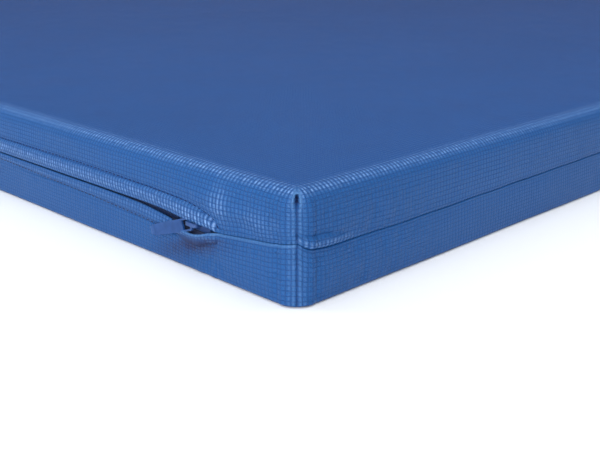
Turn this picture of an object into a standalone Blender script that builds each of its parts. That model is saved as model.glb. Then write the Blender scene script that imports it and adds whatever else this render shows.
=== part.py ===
"""Folding gym mat: two foam sections in zipped covers, joined by a hinge strip over the fold.

Metres, +Z up, standing flat on z = 0 with the fold at x = 0. A section is drawn once in its own
coordinates, u outwards from the fold, y across and z up, and the left one is its mirror image.
"""
import math

import bmesh
import bpy
from mathutils import Matrix, Vector

MM = 0.001

# Driving dimensions
LENGTH = 2.000
WIDTH = 1.000
THICKNESS = 0.060
FOLD_GAP = 0.006
COVER_WALL = 0.0008
CLEARANCE = 0.0003
PLAN_RADIUS = 0.012
TOP_RADIUS = 0.010
BASE_RADIUS = 0.003
CORNER_STEPS = 4
EDGE_STEPS = 4
SEAM_Z = 0.030

# Zip, on the front long side. Depths are measured inwards from the cover's face.
ZIP_Z = 0.0270
ZIP_OUTER = 0.058
ZIP_INNER = 0.052
SLOT_HALF = 0.0014
EYE_LENGTH = 0.034
EYE_BELOW = 0.0064
EYE_ABOVE = 0.0024
COIL_DEPTH = (0.0026, 0.0037)
COIL_HEIGHTS = (0.00075, 0.0027)
TAPE_DEPTH = 0.0040
TAPE_WALL = 0.0005
TAPE_HEIGHT = 0.0135
TAPE_INNER_EDGE = 0.0010
SLIDER_OUTER = 0.0650
SLIDER_LENGTH = 0.016
SLIDER_HALF = 0.0044
FRONT_PLATE = (0.0012, 0.0023)
BACK_PLATE = (0.0048, 0.0058)
BAIL_WALL = 0.0014
BAIL_REACH = 0.0036
BAIL_BAR = 0.0010
BAIL_HALF = 0.0010
BAIL_LENGTH = 0.0088
PLATE_BEVEL = 0.0004
PULL_DROOP = math.radians(19)
PULL_LENGTH = 0.0355
PULL_HALVES = (0.0037, 0.0031)
PULL_WINDOW = (0.0007, 0.0070, 0.0026)
PULL_WALL = 0.0012
PULL_DEPTH = -0.0014
PULL_DROP = 0.0003

# Hinge strip and handles
STRIP_WIDTH = 0.070
STRIP_WALL = 0.0008
STRIP_INSET = 0.012
HINGE_Z = THICKNESS + 2 * CLEARANCE + STRIP_WALL
WEBBING_WIDTH = 0.025
WEBBING_WALL = 0.0022
HANDLE_Z = 0.031
HANDLE_BOW = 0.032
HANDLE_HALF_SPAN = 0.078
HANDLE_SEWN = 0.040
HANDLE_ROOT = 0.010

SECTION_START = FOLD_GAP / 2
SECTION_END = LENGTH / 2
FRONT = -WIDTH / 2


def material(name, colour, roughness, metallic=0.0):
    """One Principled finish."""
    made = bpy.data.materials.new(name)
    made.use_nodes = True
    shader = made.node_tree.nodes["Principled BSDF"]
    shader.inputs["Base Color"].default_value = (*colour, 1.0)
    shader.inputs["Roughness"].default_value = roughness
    shader.inputs["Metallic"].default_value = metallic
    return made


def new_object(name, points, faces, finish, origin=(0, 0, 0), smooth=False):
    """A mesh object from world points, with its own origin and its faces turned outwards."""
    origin = Vector(origin)
    mesh = bpy.data.meshes.new(name)
    mesh.from_pydata([Vector(p) - origin for p in points], [], faces)
    shape = bmesh.new()
    shape.from_mesh(mesh)
    bmesh.ops.recalc_face_normals(shape, faces=shape.faces)
    shape.to_mesh(mesh)
    shape.free()
    if smooth:
        mesh.shade_smooth()
        mesh.set_sharp_from_angle(angle=math.radians(40))
    mesh.materials.append(finish)
    made = bpy.data.objects.new(name, mesh)
    made.location = origin
    bpy.context.scene.collection.objects.link(made)
    return made


def empty(name, location):
    """A joint's axis, as a parent for what turns about it."""
    made = bpy.data.objects.new(name, None)
    made.location = location
    made.empty_display_size = 0.02
    bpy.context.scene.collection.objects.link(made)
    return made


def attach(child, parent):
    """Parent without moving the child."""
    child.parent = parent
    child.matrix_parent_inverse = Matrix.Translation(parent.location).inverted()


def loft(rings, closed=True):
    """Points and faces of stacked rings with the same count, closed at both ends by one face each."""
    count = len(rings[0])
    points = [p for ring in rings for p in ring]
    faces = []
    for r in range(len(rings) - 1):
        for i in range(count):
            j = (i + 1) % count
            faces.append((r * count + i, r * count + j, (r + 1) * count + j, (r + 1) * count + i))
    if closed:
        faces.append(tuple(reversed(range(count))))
        faces.append(tuple(range((len(rings) - 1) * count, len(rings) * count)))
    return points, faces


def prism(outline, low, high):
    """Rings of an outline of (u, z) pairs run from one y to another."""
    return [[(u, y, z) for u, z in outline] for y in (low, high)]


def bar(section, start, end):
    """Rings of a section of (y, z) pairs run along u."""
    return [[(u, y, z) for y, z in section] for u in (start, end)]


def block(low, high):
    """Rings of a box between two corners."""
    outline = [(low[0], low[2]), (high[0], low[2]), (high[0], high[2]), (low[0], high[2])]
    return prism(outline, low[1], high[1])


class Section:
    """Draws in section coordinates and places the result on the right (+1) or the left (-1)."""

    def __init__(self, side, finishes, axis):
        self.side = side
        self.label = "right" if side > 0 else "left"
        self.finishes = finishes
        self.axis = axis

    def place(self, point):
        return (self.side * point[0], point[1], point[2])

    def add(self, name, points, faces, finish, origin=None, smooth=False):
        """A named piece of this section from points and faces in section coordinates."""
        points = [self.place(p) for p in points]
        origin = self.place(origin) if origin else (0, 0, 0)
        made = new_object(
            f"{name}_{self.label}", points, faces, self.finishes[finish], origin, smooth
        )
        if self.axis:
            attach(made, self.axis)
        return made

    def make(self, name, rings, finish, origin=None, smooth=False):
        """A closed solid from stacked rings."""
        points, faces = loft(rings)
        return self.add(name, points, faces, finish, origin, smooth)

    def tool(self, name, rings):
        """A helper solid that only cuts or joins."""
        made = self.make(name, rings, "metal")
        made.hide_render = True
        made.display_type = "WIRE"
        return made

    def combine(self, target, tools, operation):
        for tool in tools:
            step = target.modifiers.new(tool.name, "BOOLEAN")
            step.operation = operation
            step.object = tool


def inset_outline(inset, stations=()):
    """(u, y) round a section's plan, inset from its faces, with extra points along the front side."""
    low_u, high_u = SECTION_START + inset, SECTION_END - inset
    low_y, high_y = FRONT + inset, -FRONT - inset
    radius = max(PLAN_RADIUS - inset, 0.003)
    centres = [
        (high_u - radius, low_y + radius, -90),
        (high_u - radius, high_y - radius, 0),
        (low_u + radius, high_y - radius, 90),
        (low_u + radius, low_y + radius, 180),
    ]
    outline = []
    for u, y, first in centres:
        for step in range(CORNER_STEPS + 1):
            angle = math.radians(first + 90 * step / CORNER_STEPS)
            outline.append((u + radius * math.cos(angle), y + radius * math.sin(angle)))
    return outline + [(u, low_y) for u in stations]


def rounded_edge(edge_radius, inset):
    """(extra inset, distance off the face) round the folded edge, from the wall to the flat face."""
    radius = edge_radius - inset
    steps = []
    for step in range(EDGE_STEPS + 1):
        angle = math.radians(90 * step / EDGE_STEPS)
        steps.append((inset + radius * (1 - math.cos(angle)), edge_radius - radius * math.sin(angle)))
    return steps


def zip_lips():
    """(u, gap below the zip's line, gap above it) along the slot, from the fold outwards."""
    outer = SECTION_END - ZIP_OUTER
    inner = SECTION_START + ZIP_INNER
    seam_below = ZIP_Z - SEAM_Z + CLEARANCE / 2
    seam_above = SEAM_Z - ZIP_Z + CLEARANCE / 2
    slot = SLOT_HALF
    return [
        (inner, seam_below, seam_above),
        (inner + 0.006, slot, slot),
        (outer - EYE_LENGTH, slot, slot),
        (outer - EYE_LENGTH + 0.007, EYE_BELOW, EYE_ABOVE),
        (outer - 0.006, EYE_BELOW, EYE_ABOVE),
        (outer, seam_below, seam_above),
    ]


def cover_half(section, name, upper):
    """A tray of cover sheet: the face, the rounded edge, and the skirt that ends at the seam."""
    lips = zip_lips()
    stations = [u for u, _, _ in lips]
    plain = 4 * (CORNER_STEPS + 1)
    sign = 1 if upper else -1
    face_z, edge_radius = (THICKNESS, TOP_RADIUS) if upper else (0.0, BASE_RADIUS)
    rim_z = SEAM_Z + sign * CLEARANCE / 2
    lip_z = [ZIP_Z + above if upper else ZIP_Z - below for _, below, above in lips]
    above_lips_z = face_z - sign * (edge_radius + 0.006)

    def ring(inset, z):
        return [(u, y, z) for u, y in inset_outline(inset, stations)]

    def rim(inset):
        points = ring(inset, rim_z)
        return points[:plain] + [(p[0], p[1], z) for p, z in zip(points[plain:], lip_z)]

    rings = [rim(0.0), ring(0.0, above_lips_z)]
    rings += [ring(inset, face_z - sign * drop) for inset, drop in rounded_edge(edge_radius, 0.0)]
    inner = [rim(COVER_WALL), ring(COVER_WALL, above_lips_z)]
    inner += [ring(inset, face_z - sign * drop) for inset, drop in rounded_edge(edge_radius, COVER_WALL)]
    outer_points, faces = loft(rings, closed=False)
    inner_points, inner_faces = loft(inner, closed=False)
    shift = len(outer_points)
    count = len(rings[0])
    last = shift - count
    faces += [tuple(i + shift for i in face) for face in inner_faces]
    faces += [(i, (i + 1) % count, shift + (i + 1) % count, shift + i) for i in range(count)]
    faces.append(tuple(range(last, last + count)))
    faces.append(tuple(range(shift + last, shift + last + count)))
    section.add(name, outer_points + inner_points, faces, "sheet", smooth=True)


def foam_core(section):
    """The padding block, with a channel where the zip presses into it."""
    inset = COVER_WALL + 2 * CLEARANCE
    heights = [
        (BASE_RADIUS, inset),
        (inset, BASE_RADIUS),
        (inset, THICKNESS - TOP_RADIUS),
        (TOP_RADIUS, THICKNESS - inset),
    ]
    rings = [[(u, y, z) for u, y in inset_outline(edge)] for edge, z in heights]
    core = section.make("foam_core", rings, "foam")
    start = SECTION_START + ZIP_INNER - 0.010
    end = SECTION_END - ZIP_OUTER + 0.010
    shallow, deep = TAPE_DEPTH - 0.0015, BACK_PLATE[1] + 0.0007
    half, reach = SLIDER_HALF + 0.002, TAPE_HEIGHT + 0.002
    channel = [
        (FRONT - 0.001, ZIP_Z - reach),
        (FRONT + shallow, ZIP_Z - reach),
        (FRONT + deep, ZIP_Z - half),
        (FRONT + deep, ZIP_Z + half),
        (FRONT + shallow, ZIP_Z + reach),
        (FRONT - 0.001, ZIP_Z + reach),
    ]
    cutter = section.tool("foam_channel", bar(channel, start, end))
    section.combine(core, [cutter], "DIFFERENCE")


def zip_chain(section):
    """The two tapes with their coils, and the stops at both ends."""
    start = SECTION_START + ZIP_INNER + 0.001
    end = SECTION_END - ZIP_OUTER - 0.002
    for label, sign in (("upper", 1), ("lower", -1)):
        behind = FRONT + COVER_WALL + CLEARANCE
        back = FRONT + TAPE_DEPTH
        bend, flat = SLIDER_HALF + 0.0006, SLIDER_HALF + 0.0040
        front_side = [
            (back, TAPE_INNER_EDGE),
            (back, bend),
            (behind, flat),
            (behind, TAPE_HEIGHT),
        ]
        profile = [(y, ZIP_Z + sign * h) for y, h in front_side]
        profile += [(y + TAPE_WALL, ZIP_Z + sign * h) for y, h in reversed(front_side)]
        section.make(f"zip_tape_{label}", bar(profile, start, end), "tape")
        low, high = sorted(ZIP_Z + sign * h for h in COIL_HEIGHTS)
        front, rear = (FRONT + depth for depth in COIL_DEPTH)
        chain = block((start + 0.004, front, low), (end - 0.004, rear, high))
        section.make(f"zip_coil_{label}", chain, "coil")
    for name, centre in (("zip_bottom_stop", start + 0.0025), ("zip_top_stop", end - 0.0020)):
        low = (centre - 0.001, FRONT + COIL_DEPTH[0], ZIP_Z - COIL_HEIGHTS[1])
        high = (centre + 0.001, FRONT + COIL_DEPTH[1], ZIP_Z + COIL_HEIGHTS[1])
        section.make(name, block(low, high), "metal")


def shield(nose_u, tail_u, nose_half, tail_half):
    """(u, z) round the slider's plate: a broad rounded nose outwards and a narrower rounded tail."""
    outline = []
    for centre, half, first in (
        (nose_u - nose_half * 0.55, nose_half, -90),
        (tail_u + tail_half * 0.45, tail_half, 90),
    ):
        depth = abs((nose_u if half == nose_half else tail_u) - centre)
        for step in range(7):
            angle = math.radians(first + 180 * step / 6)
            outline.append((centre + depth * math.cos(angle), ZIP_Z + half * math.sin(angle)))
    return outline


def bail_arch(inner, outer):
    """(u, y) round the bail: an arch that stands on the front plate and leaves room for the pull."""
    plate, reach = FRONT + FRONT_PLATE[0] + 0.0004, FRONT - BAIL_REACH
    round_off = 0.0016
    under = reach + BAIL_BAR
    arch = [(outer, plate)]
    for centre, first in ((outer - round_off, 0), (inner + round_off, -90)):
        for step in range(5):
            angle = math.radians(first - 90 * step / 4)
            along = centre + round_off * math.cos(angle)
            arch.append((along, reach + round_off + round_off * math.sin(angle)))
    arch += [(inner, plate), (inner + BAIL_WALL, plate)]
    arch += [(inner + BAIL_WALL, under + 0.0004), (inner + BAIL_WALL + 0.0004, under)]
    arch += [(outer - BAIL_WALL - 0.0004, under), (outer - BAIL_WALL, under + 0.0004)]
    return arch + [(outer - BAIL_WALL, plate)]


def zip_slider(section):
    """Two plates, the post between the coils, the flanges that hold them, and the bail in front."""
    nose = SECTION_END - SLIDER_OUTER
    tail = nose - SLIDER_LENGTH
    bevel = PLATE_BEVEL
    outline = shield(nose, tail, SLIDER_HALF, SLIDER_HALF * 0.88)
    edged = shield(nose - bevel, tail + bevel, SLIDER_HALF - bevel, SLIDER_HALF * 0.88 - bevel)
    origin = ((nose + tail) / 2, FRONT, ZIP_Z)

    def plate_ring(points, depth):
        return [(u, FRONT + depth, z) for u, z in points]

    front, back = FRONT_PLATE, BACK_PLATE
    rings = [plate_ring(edged, front[0]), plate_ring(outline, front[0] + bevel)]
    body = section.make(
        "zip_slider", [*rings, plate_ring(outline, front[1])], "metal", origin, smooth=True
    )
    back_plate = [plate_ring(outline, depth) for depth in back]
    post = block(
        (nose - 0.0042, FRONT + FRONT_PLATE[1] - 0.0004, ZIP_Z - 0.00045),
        (nose - 0.0018, FRONT + BACK_PLATE[0] + 0.0004, ZIP_Z + 0.00045),
    )
    tools = [section.tool("slider_back_plate", back_plate), section.tool("slider_post", post)]
    flange = COIL_HEIGHTS[1] + 0.0005
    for label, sign in (("upper", 1), ("lower", -1)):
        heights = sorted(ZIP_Z + sign * h for h in (flange, SLIDER_HALF * 0.86))
        low = (tail + 0.0030, FRONT + FRONT_PLATE[1] - 0.0004, heights[0])
        high = (nose - 0.0034, FRONT + COIL_DEPTH[1], heights[1])
        tools.append(section.tool(f"slider_flange_{label}", block(low, high)))
    inner = tail + 0.0001
    arch = bail_arch(inner, inner + BAIL_LENGTH)
    levels = (ZIP_Z - BAIL_HALF, ZIP_Z + BAIL_HALF)
    tools.append(section.tool("slider_bail", [[(u, y, z) for u, y in arch] for z in levels]))
    section.combine(body, tools, "UNION")
    return body, inner + BAIL_WALL


def pull_outline():
    """(along, across) round the pull: rounded hooked end, slight taper, rounded free end."""
    near, far = PULL_HALVES
    tip = PULL_LENGTH
    return [
        (-0.0007, -near + 0.0012),
        (-0.0003, -near + 0.0004),
        (0.0006, -near),
        (tip - 0.0019, -far),
        (tip - 0.0007, -far + 0.0004),
        (tip, -far + 0.0014),
        (tip, far - 0.0014),
        (tip - 0.0007, far - 0.0004),
        (tip - 0.0019, far),
        (0.0006, near),
        (-0.0003, near - 0.0004),
        (-0.0007, near - 0.0012),
    ]


def zip_pull(section, post_face):
    """The tab, hooked round the bail's post, hanging back along the zip and drooping a little."""
    pivot = Vector((post_face + 0.0013, FRONT + PULL_DEPTH, ZIP_Z - PULL_DROP))
    along = Vector((-math.cos(PULL_DROOP), 0, -math.sin(PULL_DROOP)))
    across = Vector((-math.sin(PULL_DROOP), 0, math.cos(PULL_DROOP)))
    outward = Vector((0, -1, 0))
    half = PULL_WALL / 2

    def at(a, c, out):
        return tuple(pivot + along * a + across * c + outward * out)

    blade = [[at(a, c, out) for a, c in pull_outline()] for out in (-half, half)]
    pull = section.make("zip_pull", blade, "pull", tuple(pivot), smooth=True)
    start, end, reach = PULL_WINDOW
    corners = [(start, -reach), (end, -reach), (end, reach), (start, reach)]
    window = [[at(a, c, out) for a, c in corners] for out in (-2 * half, 2 * half)]
    cutter = section.tool("pull_window", window)
    lip_profile = [
        (PULL_LENGTH - 0.0030, 0.2 * half),
        (PULL_LENGTH - 0.0002, 0.2 * half),
        (PULL_LENGTH + 0.0003, 2.4 * half),
        (PULL_LENGTH - 0.0006, 2.7 * half),
    ]
    reach = PULL_HALVES[1] - 0.0008
    lip = [[at(a, c, out) for a, out in lip_profile] for c in (-reach, reach)]
    section.combine(pull, [cutter], "DIFFERENCE")
    section.combine(pull, [section.tool("pull_lip", lip)], "UNION")
    bevel = pull.modifiers.new("edges", "BEVEL")
    bevel.width = 0.00018
    bevel.segments = 1
    bevel.angle_limit = math.radians(50)
    return pull


def hinge_leaf(section):
    """Half of the strip that is sewn over the fold."""
    low = (CLEARANCE / 2, FRONT + STRIP_INSET, THICKNESS + CLEARANCE)
    high = (STRIP_WIDTH / 2, -FRONT - STRIP_INSET, THICKNESS + CLEARANCE + STRIP_WALL)
    section.make("hinge_leaf", block(low, high), "sheet")


def handle_path(y):
    """How far the webbing's middle stands off the end face at a place across the mat."""
    rest = CLEARANCE + WEBBING_WALL / 2
    if abs(y) >= HANDLE_HALF_SPAN:
        return rest
    return rest + HANDLE_BOW * math.cos(math.pi * y / (2 * HANDLE_HALF_SPAN)) ** 2


def handle_strip(section, name, places, origin=None):
    """A stretch of the webbing through the given places across the mat."""
    rings = []
    for y in places:
        slope = (handle_path(y + 1e-5) - handle_path(y - 1e-5)) / 2e-5
        across = Vector((1, -slope, 0)).normalized() * (WEBBING_WALL / 2)
        middle = Vector((SECTION_END + handle_path(y), y, HANDLE_Z))
        half = Vector((0, 0, WEBBING_WIDTH / 2))
        corners = (-across - half, across - half, across + half, -across + half)
        rings.append([tuple(middle + corner) for corner in corners])
    return section.make(name, rings, "webbing", origin, smooth=True)


def spread(first, last, steps):
    """Evenly spaced places from first to last."""
    return [first + (last - first) * step / steps for step in range(steps + 1)]


def handle(section):
    """One strap: two sewn ends that stay on the mat, and the grip that swings up and down."""
    share = math.sqrt(HANDLE_ROOT / HANDLE_BOW)
    split = math.acos(share) * 2 * HANDLE_HALF_SPAN / math.pi
    sewn = HANDLE_HALF_SPAN + HANDLE_SEWN
    root = spread(HANDLE_HALF_SPAN, split + CLEARANCE / 2, 5)
    handle_strip(section, "handle_end_back", [sewn, *root])
    handle_strip(section, "handle_end_front", [-sewn, *(-y for y in root)])
    grip = spread(-split + CLEARANCE / 2, split - CLEARANCE / 2, 14)
    handle_strip(section, "handle_grip", grip, (SECTION_END, 0, HANDLE_Z))


def build_section(side, finishes, axis):
    """Every piece of one section."""
    section = Section(side, finishes, axis)
    foam_core(section)
    cover_half(section, "cover_top", upper=True)
    cover_half(section, "cover_bottom", upper=False)
    zip_chain(section)
    slider, post_face = zip_slider(section)
    pull = zip_pull(section, post_face)
    attach(pull, slider)
    hinge_leaf(section)
    handle(section)


def main():
    for old in list(bpy.data.objects):
        bpy.data.objects.remove(old, do_unlink=True)
    finishes = {
        "sheet": material("cover_sheet", (0.042, 0.130, 0.390), 0.42),
        "foam": material("foam", (0.75, 0.72, 0.62), 0.95),
        "tape": material("zip_tape", (0.020, 0.045, 0.150), 0.85),
        "coil": material("zip_coil", (0.022, 0.050, 0.170), 0.45),
        "metal": material("painted_slider", (0.030, 0.090, 0.300), 0.35),
        "pull": material("painted_pull", (0.036, 0.105, 0.345), 0.38),
        "webbing": material("webbing", (0.020, 0.048, 0.160), 0.80),
    }
    build_section(1, finishes, None)
    build_section(-1, finishes, empty("fold_axis", (0, 0, HINGE_Z)))


if __name__ == "__main__":
    main()
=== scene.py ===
"""The looks of the folding gym mat: embossed coated covers, zips, hinge strip and webbing handles.

A section is worked out in its own plan: u outwards from the fold, y across, z up. The right section
uses it as it is and the left one mirrors it. Lengths are metres, and MM turns millimetres into them.
"""
import math

import bpy
import numpy as np
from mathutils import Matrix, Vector


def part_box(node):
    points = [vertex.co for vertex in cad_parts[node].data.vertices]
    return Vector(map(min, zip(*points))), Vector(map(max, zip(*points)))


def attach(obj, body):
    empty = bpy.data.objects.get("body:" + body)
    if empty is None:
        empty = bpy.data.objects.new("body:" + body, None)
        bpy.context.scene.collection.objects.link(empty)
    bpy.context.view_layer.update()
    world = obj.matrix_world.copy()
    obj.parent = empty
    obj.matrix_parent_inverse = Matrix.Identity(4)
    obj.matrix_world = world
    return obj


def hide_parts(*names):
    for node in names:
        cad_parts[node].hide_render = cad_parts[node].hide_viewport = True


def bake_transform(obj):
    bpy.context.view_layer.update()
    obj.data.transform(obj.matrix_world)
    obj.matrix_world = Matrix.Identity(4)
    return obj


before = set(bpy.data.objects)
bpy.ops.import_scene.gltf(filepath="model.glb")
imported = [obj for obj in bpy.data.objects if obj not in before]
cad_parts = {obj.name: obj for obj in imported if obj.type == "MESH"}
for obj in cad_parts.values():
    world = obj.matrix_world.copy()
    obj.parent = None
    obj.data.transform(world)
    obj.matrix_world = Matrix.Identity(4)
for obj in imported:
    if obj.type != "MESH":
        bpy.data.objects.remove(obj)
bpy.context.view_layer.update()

MM = 0.001
SIDES = (("right", 1), ("left", -1))

TOP_LOW, TOP_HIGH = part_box("cover_top_right")
FOLD_U, OUTER_U = TOP_LOW[0], TOP_HIGH[0]
FRONT_Y, BACK_Y = TOP_LOW[1], TOP_HIGH[1]
TOP_Z = TOP_HIGH[2]
COIL_LOW, COIL_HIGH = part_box("zip_coil_lower_right"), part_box("zip_coil_upper_right")
ZIP_Z = (COIL_LOW[0][2] + COIL_HIGH[1][2]) / 2

PLAN_RADIUS = 12 * MM
TOP_RADIUS = 10 * MM
BASE_RADIUS = 2 * MM
SHEET_WALL = 0.7 * MM
WEAVE = 2.66 * MM
WEAVE_DROP = 2.52 * MM


# -------- small helpers

def curve(points):
    """A smooth function through (place, value) pairs, flat beyond both ends."""
    places, values = np.array(points, float).T
    slopes = np.gradient(values, places)
    slopes[0] = slopes[-1] = 0.0

    def at(x):
        x = np.clip(np.asarray(x, float), places[0], places[-1])
        i = np.clip(np.searchsorted(places, x, side="right") - 1, 0, len(places) - 2)
        span = places[i + 1] - places[i]
        t = (x - places[i]) / span
        rise = (values[i + 1] - values[i]) * t * t * (3 - 2 * t)
        lean = ((1 - t) * slopes[i] - t * slopes[i + 1]) * t * (1 - t)
        return values[i] + rise + lean * span

    return at


def ease(x, start, end):
    """0 before start, 1 after end, smooth in between."""
    t = np.clip((np.asarray(x, float) - start) / (end - start), 0.0, 1.0)
    return t * t * (3 - 2 * t)


def hill(x, width):
    """A bell of height 1 that has faded at about twice its width."""
    return np.exp(-((np.asarray(x, float) / width) ** 2))


def link(obj):
    bpy.context.scene.collection.objects.link(obj)
    return obj


def mesh_object(name, points, faces, finish, uv=None, smooth=True):
    """A mesh object with an optional array of face-corner UVs called sheet."""
    mesh = bpy.data.meshes.new(name)
    mesh.from_pydata([tuple(p) for p in points], [], [tuple(f) for f in faces])
    if uv is not None:
        layer = mesh.uv_layers.new(name="sheet")
        layer.data.foreach_set("uv", np.asarray(uv, np.float32).ravel())
    mesh.materials.append(finish)
    if smooth:
        mesh.shade_smooth()
    mesh.validate()
    return link(bpy.data.objects.new(name, mesh))


def ring_faces(rings, count):
    """Quads between closed rings of count points each, from every ring to the next."""
    return [[row + j, row + (j + 1) % count, row + count + (j + 1) % count, row + count + j]
            for row in range(0, (rings - 1) * count, count) for j in range(count)]


# -------- the cover's plan

CENTRE = np.array([(FOLD_U + OUTER_U) / 2, (FRONT_Y + BACK_Y) / 2])


def drawn_in(outline, step):
    """A plan outline drawn in towards the section's centre by a step in millimetres."""
    return CENTRE + (outline - CENTRE) * (1 - 2 * step * MM / (BACK_Y - FRONT_Y))


def placed_ring(place, z):
    """A ring of points from its places in plan and its heights in millimetres."""
    return np.column_stack([place, np.broadcast_to(z, (len(place),)) * MM])


def graded(length, step_at):
    """Places from 0 to length, each a step_at(place) beyond the last, stretched to end on length."""
    places = [0.0]
    while places[-1] < length:
        places.append(places[-1] + float(step_at(places[-1])))
    return np.array(places) * (length / places[-1])


ZIP_STEPS = curve([(0, 1.0), (115, 1.1), (160, 2.2), (300, 6.0), (480, 14.0)])
NEAR_STEPS = curve([(0, 1.2), (60, 1.6), (150, 3.4), (300, 7.0), (480, 14.0)])
FAR_STEPS = curve([(0, 1.6), (30, 3.0), (90, 10.0), (200, 16.0)])
DART_PLACES = (0.35, 0.8, 1.4, 2.2, 3.2, 4.4, 5.8, 7.6)


class Plan:
    """Stations round a section, anticlockwise from its front side at the fold.

    Sides are numbered front 0, outer end 1, back 2 and fold 3. A corner's dart is half way round it.
    """

    def __init__(self, coarseness=1.0):
        radius = PLAN_RADIUS
        self.turn = radius * math.pi / 4
        lows, highs = (FOLD_U + radius, FRONT_Y + radius), (OUTER_U - radius, BACK_Y - radius)
        lengths = [highs[0] - lows[0], highs[1] - lows[1]] * 2
        steps = [(FAR_STEPS, ZIP_STEPS), (NEAR_STEPS, FAR_STEPS)] + [(FAR_STEPS, FAR_STEPS)] * 2
        starts = [(lows[0], FRONT_Y), (OUTER_U, lows[1]), (highs[0], BACK_Y), (FOLD_U, highs[1])]
        centres = [(highs[0], lows[1]), highs, (lows[0], highs[1]), lows]
        before = [-p * MM for p in reversed(DART_PLACES)]
        half_turn = np.array([-self.turn, *before, 0.0, *[-b for b in reversed(before)]]) + self.turn
        stations = []
        self.side_start = []
        travelled = 0.0
        out = Vector((0, -1)), Vector((1, 0)), Vector((0, 1)), Vector((-1, 0))
        for k in range(4):
            way = Vector((-out[k].y, out[k].x))
            self.side_start.append(travelled)
            length, (after, ahead) = lengths[k], steps[k]
            run = graded(length, lambda p: coarseness * MM * min(after(p / MM), ahead((length - p) / MM)))
            for place in run[:-1]:
                dart = min(place, length - place) + self.turn
                stations.append((Vector(starts[k]) + way * place, out[k], travelled + place, k, dart))
            travelled += length
            for place in half_turn:
                angle = math.radians(90 * (k - 1)) + place / radius
                normal = Vector((math.cos(angle), math.sin(angle)))
                point = Vector(centres[k]) + normal * radius
                side = k if place < self.turn - 1e-6 else (k + 1) % 4
                stations.append((point, normal, travelled + place, side, abs(place - self.turn)))
            travelled += 2 * self.turn
        self.total = travelled
        self.points, self.normals, self.along, self.side, self.dart = map(np.array, zip(*stations))
        self.count = len(stations)
        self.from_corner = (OUTER_U - self.points[:, 0]) / MM
        self.from_front = (self.points[:, 1] - FRONT_Y) / MM

    def sheet_place(self, side, along, drop):
        """Sheet coordinates on a side, at a length along the edge and a drop from its plan outline."""
        place = along - self.side_start[side]
        return (
            (FOLD_U + PLAN_RADIUS + place, FRONT_Y - drop),
            (OUTER_U + drop, FRONT_Y + PLAN_RADIUS + place),
            (OUTER_U - PLAN_RADIUS - place, BACK_Y + drop),
            (FOLD_U - drop, BACK_Y - PLAN_RADIUS - place),
        )[side]

    def lattice(self, rings, drops, centre, outward):
        """(points, faces, UVs) of a panel from its rings of points, the last ones drawn in to centre.

        drops holds, for the rings over the edge, (unrolled distance past the plan outline, flatness).
        """
        count = self.count
        points = np.vstack([*rings, [centre]])
        faces, uvs = [], []

        def sheet(row, station, side, along):
            x, y = points[row * count + station][:2]
            if row >= len(drops):
                return x, y
            drop, flat = drops[row]
            u, v = self.sheet_place(side, along, drop[station] * MM)
            return u + (x - u) * flat, v + (y - v) * flat

        for j in range(count):
            k = (j + 1) % count
            side = int(self.side[j])
            here, there = self.along[j], self.along[k] if k else self.total
            if side == 0 and here > self.side_start[3]:
                here, there = here - self.total, there - self.total
            for i in range(len(rings) - 1):
                loop = [(i, j, here), (i, k, there), (i + 1, k, there), (i + 1, j, here)][::outward]
                faces.append([row * count + station for row, station, _ in loop])
                uvs += [sheet(row, station, side, at) for row, station, at in loop]
            last = (len(rings) - 1) * count
            fan = [last + j, last + k, len(points) - 1][::outward]
            faces.append(fan)
            uvs += [tuple(points[i][:2]) for i in fan]
        return points, faces, uvs


# -------- the sewn lines
# On the front side s is the distance from the outer corner, and every length is in millimetres.

SPAN = (OUTER_U - FOLD_U) / MM
ZIP_OPENS, ZIP_CLOSES = 58.0, SPAN - 55.0

upper_lip = curve([(58, 26.4), (64, 27.2), (74, 27.7), (84, 28.0), (97, 28.7), (110, 29.2), (144, 29.2),
                   (200, 28.9), (900, 28.6), (935, 28.6), (942, 28.8)])
lower_lip = curve([(58, 26.1), (61, 25.6), (65, 24.6), (71, 22.7), (77, 21.7), (84, 21.8), (90, 23.0),
                   (97, 24.9), (106, 26.0), (120, 27.3), (144, 28.0), (200, 28.0), (900, 27.8),
                   (935, 28.0), (942, 28.4)])
front_seam = curve([(3.5, 33.0), (8, 32.4), (17, 30.8), (32, 29.0), (46, 27.4), (58, 26.2)])
end_seam = curve([(3.5, 33.0), (6, 31.2), (10, 29.4), (17, 28.4), (36, 27.9), (70, 27.3), (140, 27.3),
                  (260, 27.6), (500, 28.4), (980, 29.4)])
end_crease = curve([(3.5, 36.8), (15, 36.0), (36, 32.8), (50, 31.4)])
upper_stitch = curve([(56.5, 27.6), (58.5, 30.6), (62, 33.6), (68, 36.0), (76, 37.4), (86, 38.2),
                      (100, 38.6), (300, 38.6), (942, 38.2)])
lower_stitch = curve([(56.5, 24.0), (58, 21.6), (61, 19.6), (66, 18.4), (73, 17.8), (82, 17.4), (92, 17.4),
                      (104, 18.2), (118, 19.4), (140, 20.2), (942, 19.8)])


def in_zip(s, soft=1.0):
    """1 between the ends of the zip's lips, 0 at the plain seam."""
    return ease(s, ZIP_OPENS - soft, ZIP_OPENS + soft) * (1 - ease(s, ZIP_CLOSES - soft, ZIP_CLOSES + soft))


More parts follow.
